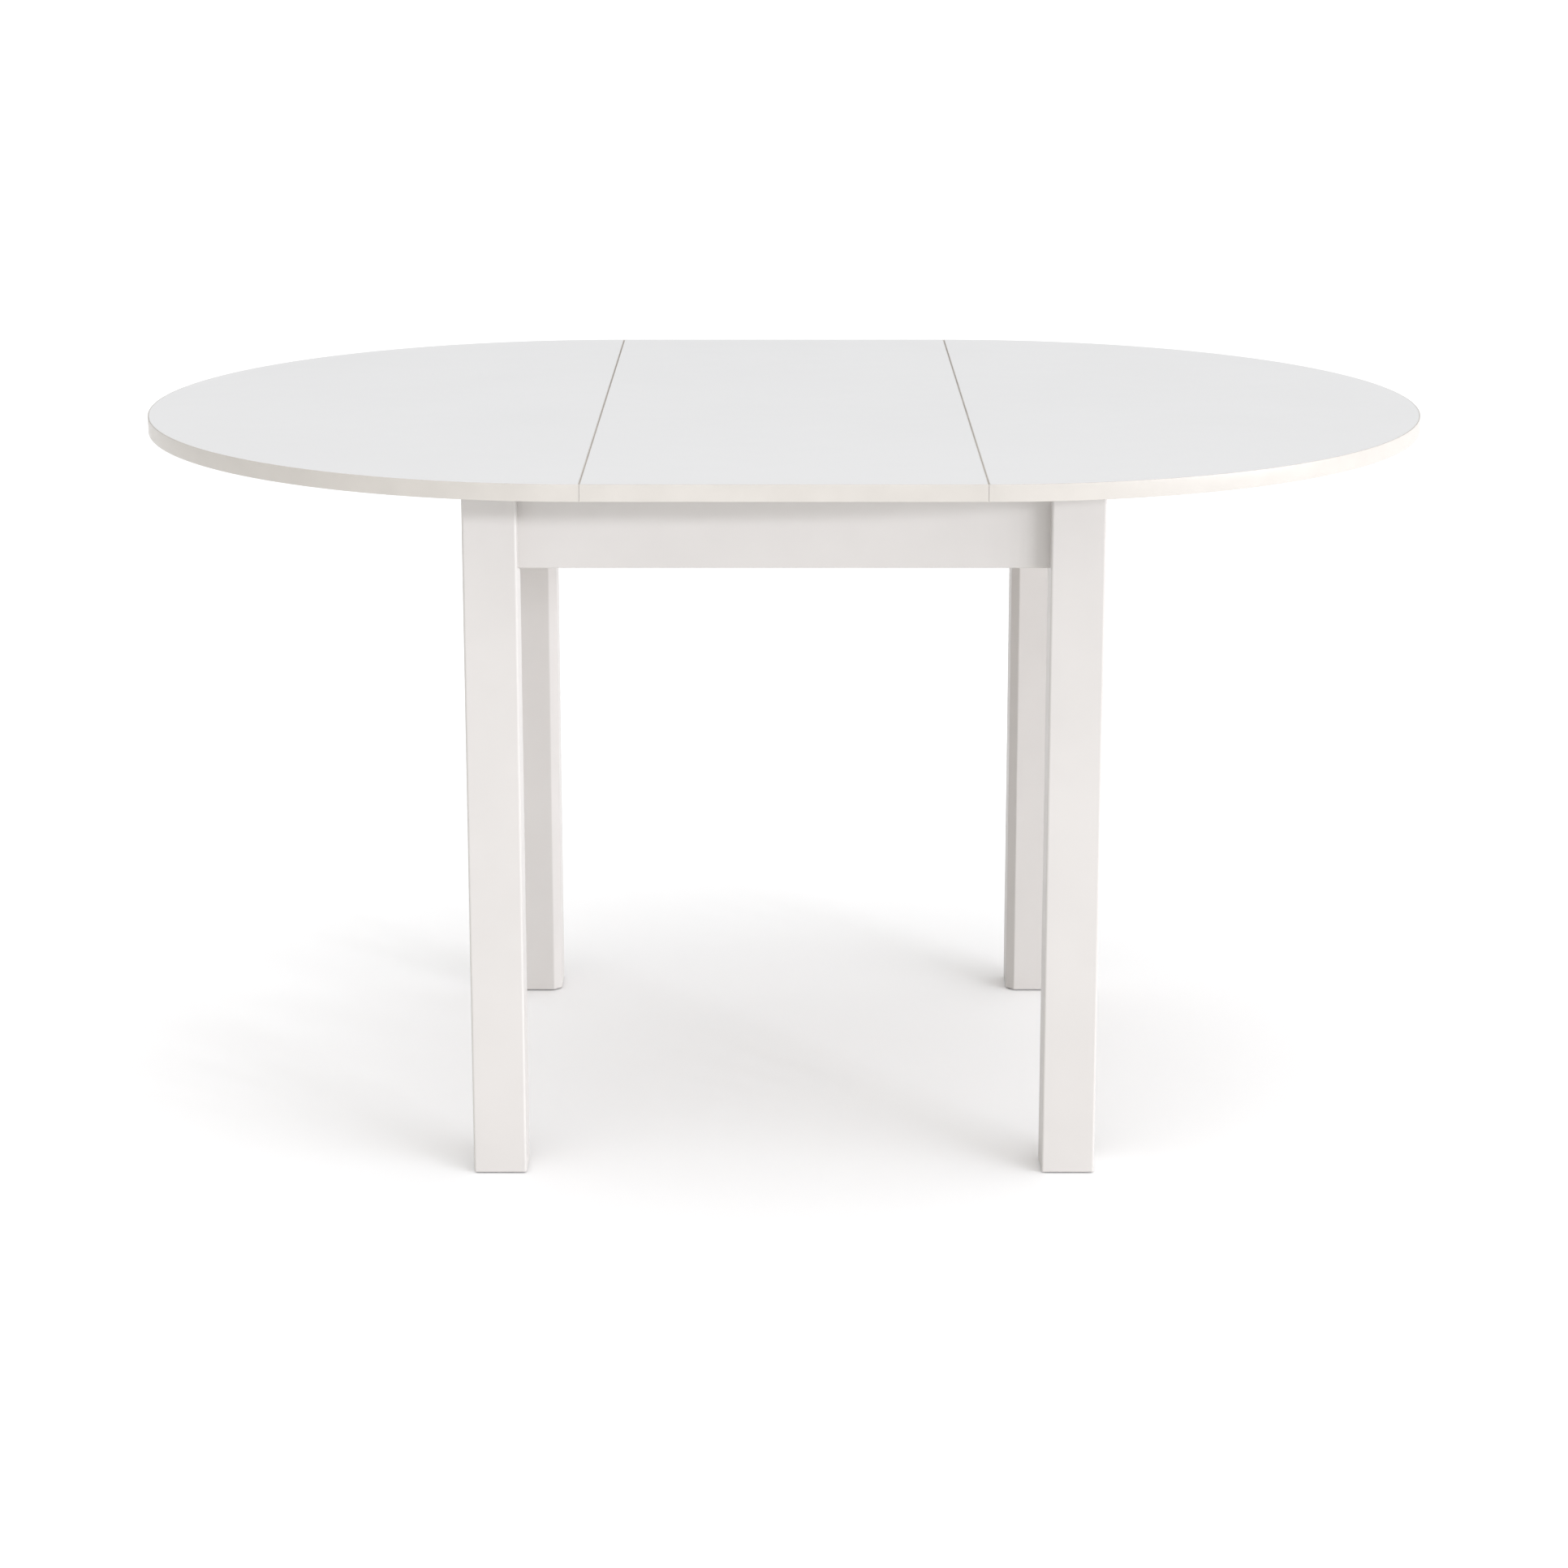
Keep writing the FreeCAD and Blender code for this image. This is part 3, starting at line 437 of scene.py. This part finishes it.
def melamine_board():
    """White melamine-faced board, pressed against a satin plate: a hard, even white with a fine
    pearl that breaks up reflections, and faint clouds where hands have wiped it."""
    material, tree, shader, place = new_material("white_melamine_board", IOR=1.5)
    clouds = add_node(tree, "ShaderNodeTexNoise", {"Scale": per_mm(140), "Detail": 3}, {"Vector": place})
    # really 0.4 mm, and this coarse to show
    pearl = add_node(tree, "ShaderNodeTexNoise", {"Scale": per_mm(1.6), "Detail": 1}, {"Vector": place})
    shares = add_node(tree, "ShaderNodeMapRange", SPREAD, {"Value": clouds.outputs["Fac"]})
    whites = {FIRST: linear("#E2E2E2"), SECOND: linear("#E6E6E6")}
    colour = add_node(tree, "ShaderNodeMix", whites, {SHARE: shares.outputs["Result"]}, data_type="RGBA")
    satin = {**SPREAD, "To Min": 0.42, "To Max": 0.36}
    roughness = add_node(tree, "ShaderNodeMapRange", satin, {"Value": clouds.outputs["Fac"]})
    relief = {"Strength": 0.25, "Distance": 0.05 * MM}
    normal = add_node(tree, "ShaderNodeBump", relief, {"Height": pearl.outputs["Fac"]})
    feed(tree, shader, colour.outputs[MIXED], roughness.outputs["Result"], normal.outputs["Normal"])
    return material


def abs_edging():
    """White ABS edging, extruded and then buffed: warmer than the board and darker, the darkness painted
    shade of its upright faces, with faint die lines that run along it and a softer gloss where the
    buffing wheel dwelt."""
    material, tree, shader, place = new_material("white_abs_edging", IOR=1.53)
    lines = add_node(tree, "ShaderNodeMapping", {"Scale": per_mm(300, 300, 0.9)}, {"Vector": place})
    drawn = {"Scale": 1, "Detail": 1}
    die = add_node(tree, "ShaderNodeTexNoise", drawn, {"Vector": lines.outputs["Vector"]})
    buffing = add_node(tree, "ShaderNodeTexNoise", {"Scale": per_mm(30), "Detail": 2}, {"Vector": place})
    shares = add_node(tree, "ShaderNodeMapRange", SPREAD, {"Value": buffing.outputs["Fac"]})
    # painted shade: these whites are darker and warmer than the board's, standing in for the shade on the
    # band's upright faces
    whites = {FIRST: linear("#C4BFB8"), SECOND: linear("#C8C3BC")}
    colour = add_node(tree, "ShaderNodeMix", whites, {SHARE: shares.outputs["Result"]}, data_type="RGBA")
    gloss = {**SPREAD, "To Min": 0.3, "To Max": 0.38}
    roughness = add_node(tree, "ShaderNodeMapRange", gloss, {"Value": buffing.outputs["Fac"]})
    relief = {"Strength": 0.3, "Distance": 0.03 * MM}
    normal = add_node(tree, "ShaderNodeBump", relief, {"Height": die.outputs["Fac"]})
    feed(tree, shader, colour.outputs[MIXED], roughness.outputs["Result"], normal.outputs["Normal"])
    return material


def lacquered_wood(name, grain_sizes):
    """White sprayed lacquer over sanded beech: a warm satin white, darker than the board's as painted
    shade of the upright legs and aprons, with a soft orange peel, and the grain just telegraphing through
    as long shallow lines."""
    material, tree, shader, place = new_material(name, IOR=1.48)
    coat = add_node(tree, "ShaderNodeTexNoise", {"Scale": per_mm(90), "Detail": 2}, {"Vector": place})
    stretch = add_node(tree, "ShaderNodeMapping", {"Scale": per_mm(*grain_sizes)}, {"Vector": place})
    long_lines = {"Scale": 1, "Detail": 3, "Distortion": 0.3}
    grain = add_node(tree, "ShaderNodeTexNoise", long_lines, {"Vector": stretch.outputs["Vector"]})
    peel = add_node(tree, "ShaderNodeTexNoise", {"Scale": per_mm(2.6), "Detail": 1}, {"Vector": place})
    shares = add_node(tree, "ShaderNodeMapRange", SPREAD, {"Value": coat.outputs["Fac"]})
    # painted shade: these whites are darker and warmer than the board's, standing in for the shade on the
    # upright legs and aprons
    whites = {FIRST: linear("#C9C5C1"), SECOND: linear("#CCC8C4")}
    colour = add_node(tree, "ShaderNodeMix", whites, {SHARE: shares.outputs["Result"]}, data_type="RGBA")
    satin = {**SPREAD, "To Min": 0.36, "To Max": 0.44}
    roughness = add_node(tree, "ShaderNodeMapRange", satin, {"Value": coat.outputs["Fac"]})
    lines = {"Strength": 0.2, "Distance": 0.08 * MM}
    below = add_node(tree, "ShaderNodeBump", lines, {"Height": grain.outputs["Fac"]})
    orange_peel = {"Strength": 0.25, "Distance": 0.05 * MM}
    over = {"Height": peel.outputs["Fac"], "Normal": below.outputs["Normal"]}
    normal = add_node(tree, "ShaderNodeBump", orange_peel, over)
    feed(tree, shader, colour.outputs[MIXED], roughness.outputs["Result"], normal.outputs["Normal"])
    return material


def planed_beech(name, grain_sizes, fleck_sizes):
    """Planed beech with no finish: pinkish straw with darker growth bands, and the short brown
    flecks that mark beech."""
    material, tree, shader, place = new_material(name, IOR=1.5)
    stretch = add_node(tree, "ShaderNodeMapping", {"Scale": per_mm(*grain_sizes)}, {"Vector": place})
    wavy = {"Scale": 1, "Detail": 4, "Distortion": 0.6}
    bands = add_node(tree, "ShaderNodeTexNoise", wavy, {"Vector": stretch.outputs["Vector"]})
    short = add_node(tree, "ShaderNodeMapping", {"Scale": per_mm(*fleck_sizes)}, {"Vector": place})
    spots = {"Scale": 1, "Detail": 2}
    flecks = add_node(tree, "ShaderNodeTexNoise", spots, {"Vector": short.outputs["Vector"]})
    shares = add_node(tree, "ShaderNodeMapRange", SPREAD, {"Value": bands.outputs["Fac"]})
    straws = {FIRST: linear("#C79F76"), SECOND: linear("#DDBB93")}
    ground = add_node(tree, "ShaderNodeMix", straws, {SHARE: shares.outputs["Result"]}, data_type="RGBA")
    rare = {"From Min": 0.56, "From Max": 0.66}
    marks = add_node(tree, "ShaderNodeMapRange", rare, {"Value": flecks.outputs["Fac"]})
    flecked = {SHARE: marks.outputs["Result"], FIRST: ground.outputs[MIXED]}
    colour = add_node(tree, "ShaderNodeMix", {SECOND: linear("#A87C52")}, flecked, data_type="RGBA")
    matt = {**SPREAD, "To Min": 0.55, "To Max": 0.7}
    roughness = add_node(tree, "ShaderNodeMapRange", matt, {"Value": bands.outputs["Fac"]})
    relief = {"Strength": 0.3, "Distance": 0.1 * MM}
    normal = add_node(tree, "ShaderNodeBump", relief, {"Height": bands.outputs["Fac"]})
    feed(tree, shader, colour.outputs[MIXED], roughness.outputs["Result"], normal.outputs["Normal"])
    return material


def zinc_plated_steel():
    """Pressed and turned steel, bright zinc plated: cool silver with a faint cloudy passivation and
    fine rolling lines."""
    material, tree, shader, place = new_material("zinc_plated_steel", Metallic=1.0)
    clouds = add_node(tree, "ShaderNodeTexNoise", {"Scale": per_mm(9), "Detail": 3}, {"Vector": place})
    rolled = add_node(tree, "ShaderNodeMapping", {"Scale": per_mm(0.5, 6, 6)}, {"Vector": place})
    streaks = {"Scale": 1, "Detail": 1}
    lines = add_node(tree, "ShaderNodeTexNoise", streaks, {"Vector": rolled.outputs["Vector"]})
    shares = add_node(tree, "ShaderNodeMapRange", SPREAD, {"Value": clouds.outputs["Fac"]})
    silvers = {FIRST: linear("#B9BCBF"), SECOND: linear("#CFD1D0")}
    colour = add_node(tree, "ShaderNodeMix", silvers, {SHARE: shares.outputs["Result"]}, data_type="RGBA")
    plated = {**SPREAD, "To Min": 0.28, "To Max": 0.42}
    roughness = add_node(tree, "ShaderNodeMapRange", plated, {"Value": clouds.outputs["Fac"]})
    relief = {"Strength": 0.2, "Distance": 0.02 * MM}
    normal = add_node(tree, "ShaderNodeBump", relief, {"Height": lines.outputs["Fac"]})
    feed(tree, shader, colour.outputs[MIXED], roughness.outputs["Result"], normal.outputs["Normal"])
    return material


def pressed_felt():
    """Pressed wool felt, die cut: a dull grey white of matted fibres that catch no highlight."""
    material, tree, shader, place = new_material("pressed_felt", Sheen_Weight=0.3)
    matted = {"Scale": per_mm(0.8), "Detail": 4, "Distortion": 1.5}
    fibres = add_node(tree, "ShaderNodeTexNoise", matted, {"Vector": place})
    shares = add_node(tree, "ShaderNodeMapRange", SPREAD, {"Value": fibres.outputs["Fac"]})
    greys = {FIRST: linear("#A8A49C"), SECOND: linear("#CFCBC3")}
    colour = add_node(tree, "ShaderNodeMix", greys, {SHARE: shares.outputs["Result"]}, data_type="RGBA")
    dull = {**SPREAD, "To Min": 0.9, "To Max": 0.98}
    roughness = add_node(tree, "ShaderNodeMapRange", dull, {"Value": fibres.outputs["Fac"]})
    relief = {"Strength": 0.8, "Distance": 0.4 * MM}
    normal = add_node(tree, "ShaderNodeBump", relief, {"Height": fibres.outputs["Fac"]})
    feed(tree, shader, colour.outputs[MIXED], roughness.outputs["Result"], normal.outputs["Normal"])
    return material


def moulded_polythene():
    """Moulded polythene: milky white, waxy and slightly scuffed where it slides on the floor."""
    material, tree, shader, place = new_material("moulded_polythene", IOR=1.5)
    dragged = add_node(tree, "ShaderNodeMapping", {"Scale": per_mm(3, 0.6, 3)}, {"Vector": place})
    scratches = {"Scale": 1, "Detail": 3}
    scuffs = add_node(tree, "ShaderNodeTexNoise", scratches, {"Vector": dragged.outputs["Vector"]})
    shares = add_node(tree, "ShaderNodeMapRange", SPREAD, {"Value": scuffs.outputs["Fac"]})
    milks = {FIRST: linear("#D4D3CF"), SECOND: linear("#E2E1DE")}
    colour = add_node(tree, "ShaderNodeMix", milks, {SHARE: shares.outputs["Result"]}, data_type="RGBA")
    waxy = {**SPREAD, "To Min": 0.4, "To Max": 0.6}
    roughness = add_node(tree, "ShaderNodeMapRange", waxy, {"Value": scuffs.outputs["Fac"]})
    relief = {"Strength": 0.3, "Distance": 0.05 * MM}
    normal = add_node(tree, "ShaderNodeBump", relief, {"Height": scuffs.outputs["Fac"]})
    feed(tree, shader, colour.outputs[MIXED], roughness.outputs["Result"], normal.outputs["Normal"])
    return material


def finish(material, *names):
    """Gives a material to CAD nodes."""
    for name in names:
        mesh = nodes[name].data
        mesh.materials.clear()
        mesh.materials.append(material)


# ---- the table ----
LEGS = ("leg_front_left", "leg_front_right", "leg_back_left", "leg_back_right")
HALVES = ("left", "right")


def tops():
    """The three boards and their edging."""
    finish(melamine_board(), "left_top_panel", "leaf_panel", "right_top_panel")
    edging = abs_edging()
    leaf_band(edging)
    for side in HALVES:
        half_band(side, edging)


def woodwork():
    """The lacquered legs and aprons, and the bare beech that hides under the top."""
    finish(lacquered_wood("white_lacquer_upright_grain", (2.5, 2.5, 120)), *LEGS)
    finish(lacquered_wood("white_lacquer_lengthwise_grain", (120, 2.5, 2.5)), "apron_front", "apron_back")
    finish(lacquered_wood("white_lacquer_crosswise_grain", (2.5, 120, 2.5)), "apron_left", "apron_right")
    lengthwise = ["guide_rail_front", "guide_rail_back", "guide_stops"]
    lengthwise += ["leaf_batten_front", "leaf_batten_back"]
    for side in HALVES:
        lengthwise += [side + "_runner_outer", side + "_runner_inner", side + "_runner_stops"]
    finish(planed_beech("beech_lengthwise_grain", (90, 5, 5), (5, 0.9, 0.9)), *lengthwise)
    crosswise = ("left_cleat", "right_cleat", "apron_dowels")
    finish(planed_beech("beech_crosswise_grain", (5, 90, 5), (0.9, 5, 0.9)), *crosswise)


def fixings():
    """The plated steel: pressed plates from the frame, turned and threaded pieces drawn anew."""
    steel = zinc_plated_steel()
    plates = ["bracket_washers"] + ["corner_bracket_" + leg[4:] for leg in LEGS]
    for side in HALVES:
        plates += [side + "_latch_front", side + "_latch_back"]
    finish(steel, *plates)
    hanger_bolts(steel)
    nuts(steel)
    wood_screws("bracket_screws", "frame", 1, steel)
    wood_screws("guide_screws", "frame", -1, steel)
    wood_screws("leaf_batten_screws", "leaf", 1, steel)
    latch_posts("leaf_latch_posts", "leaf", steel)
    latch_posts("leaf_latch_pivots", "leaf", steel)
    for side in HALVES:
        wood_screws(side + "_runner_screws", side + "_half", 1, steel)
        wood_screws(side + "_cleat_screws", side + "_half", 1, steel)
        latch_posts(side + "_latch_screws", side + "_half", steel)


# ---- studio ----
FLOOR_RADIUS = 30.0
FLOOR_SIDES = 96
CAMERA_DISTANCE = 3.783
CAMERA_HEIGHT = 1.370
CAMERA_TILT = math.radians(12.26)
CAMERA_LENS = 80.6
SENSOR_WIDTH = 36.0
CAMERA_SHIFT = -0.12
SURROUND_LEVEL = 0.12
SURROUND_SLOPE = (0.10, -0.36, 1.51)  # per unit of X, Y and Z of the direction
SURROUND_DARKEST = 0.05
KEY_AZIMUTHS = math.radians(40), math.radians(80)  # to the right of the camera
KEY_LAMPS = 7
KEY_RISE = 0.29  # for each unit towards the front
KEY_SPREAD = math.radians(3)
KEY_STRENGTH = 2.5
KEY_COLOUR = "#F6F8FF"


def camera():
    """A long lens at seated distance in front, looking slightly down on the top."""
    data = bpy.data.cameras.new("camera")
    data.lens, data.sensor_width, data.shift_y = CAMERA_LENS, SENSOR_WIDTH, CAMERA_SHIFT
    view = bpy.data.objects.new("camera", data)
    view.location = (0, -CAMERA_DISTANCE, CAMERA_HEIGHT)
    view.rotation_euler = (math.pi / 2 - CAMERA_TILT, 0, 0)
    bpy.context.scene.collection.objects.link(view)
    bpy.context.scene.camera = view


def floor():
    """A pale floor: a flat disc, worked out as a ring of points, that runs out of sight."""
    angle = np.arange(FLOOR_SIDES) * TURN / FLOOR_SIDES
    ring = np.stack([np.cos(angle), np.sin(angle), 0 * angle], 1) * FLOOR_RADIUS
    mesh = bpy.data.meshes.new("floor")
    mesh.from_pydata(ring.tolist(), [], [list(range(len(ring)))])
    piece = bpy.data.objects.new("floor", mesh)
    bpy.context.scene.collection.objects.link(piece)
    matt = {"Specular_IOR_Level": 0.1, "Roughness": 0.9}
    material, tree, shader, place = new_material("white_painted_floor", **matt)
    clouds = add_node(tree, "ShaderNodeTexNoise", {"Scale": per_mm(400), "Detail": 2}, {"Vector": place})
    whites = {FIRST: linear("#FBFBFB"), SECOND: linear("#FDFDFD")}
    colour = add_node(tree, "ShaderNodeMix", whites, {SHARE: clouds.outputs["Fac"]}, data_type="RGBA")
    tree.links.new(colour.outputs[MIXED], shader.inputs["Base Color"])
    mesh.materials.append(material)


def surround():
    """A white room seen all round: its brightness is a middle value plus a slope towards the
    ceiling, and a little towards the right and the front."""
    world = bpy.data.worlds.new("white_surround")
    world.use_nodes = True
    tree = world.node_tree
    direction = add_node(tree, "ShaderNodeTexCoord").outputs["Generated"]
    slopes = {1: SURROUND_SLOPE}
    slope = add_node(tree, "ShaderNodeVectorMath", slopes, {0: direction}, operation="DOT_PRODUCT")
    level = add_node(tree, "ShaderNodeMath", {1: SURROUND_LEVEL}, {0: slope.outputs["Value"]})
    held = {1: SURROUND_DARKEST}
    strength = add_node(tree, "ShaderNodeMath", held, {0: level.outputs["Value"]}, operation="MAXIMUM")
    sky = tree.nodes["Background"]
    sky.inputs["Color"].default_value = linear("#FFFFFF")
    tree.links.new(strength.outputs["Value"], sky.inputs["Strength"])
    bpy.context.scene.world = world


def key_light():
    """A lamp far away on the right, in front, as wide as a window and very thin. It is a row of narrow
    ones level with each other along X, so that the top's front edge draws a crisp shadow on the
    apron while the legs draw soft ones."""
    for azimuth in np.linspace(*KEY_AZIMUTHS, KEY_LAMPS):
        data = bpy.data.lights.new("key", "SUN")
        data.energy, data.angle = KEY_STRENGTH / KEY_LAMPS, KEY_SPREAD
        data.color = linear(KEY_COLOUR)[:3]
        lamp = bpy.data.objects.new("key", data)
        toward = Vector((math.tan(azimuth), -1, KEY_RISE))
        lamp.rotation_euler = toward.to_track_quat("Z", "Y").to_euler()
        bpy.context.scene.collection.objects.link(lamp)


camera()
tops()
woodwork()
fixings()
felt_pads(pressed_felt())
glides(moulded_polythene())
floor()
surround()
key_light()
bpy.context.scene.view_settings.view_transform = "Standard"
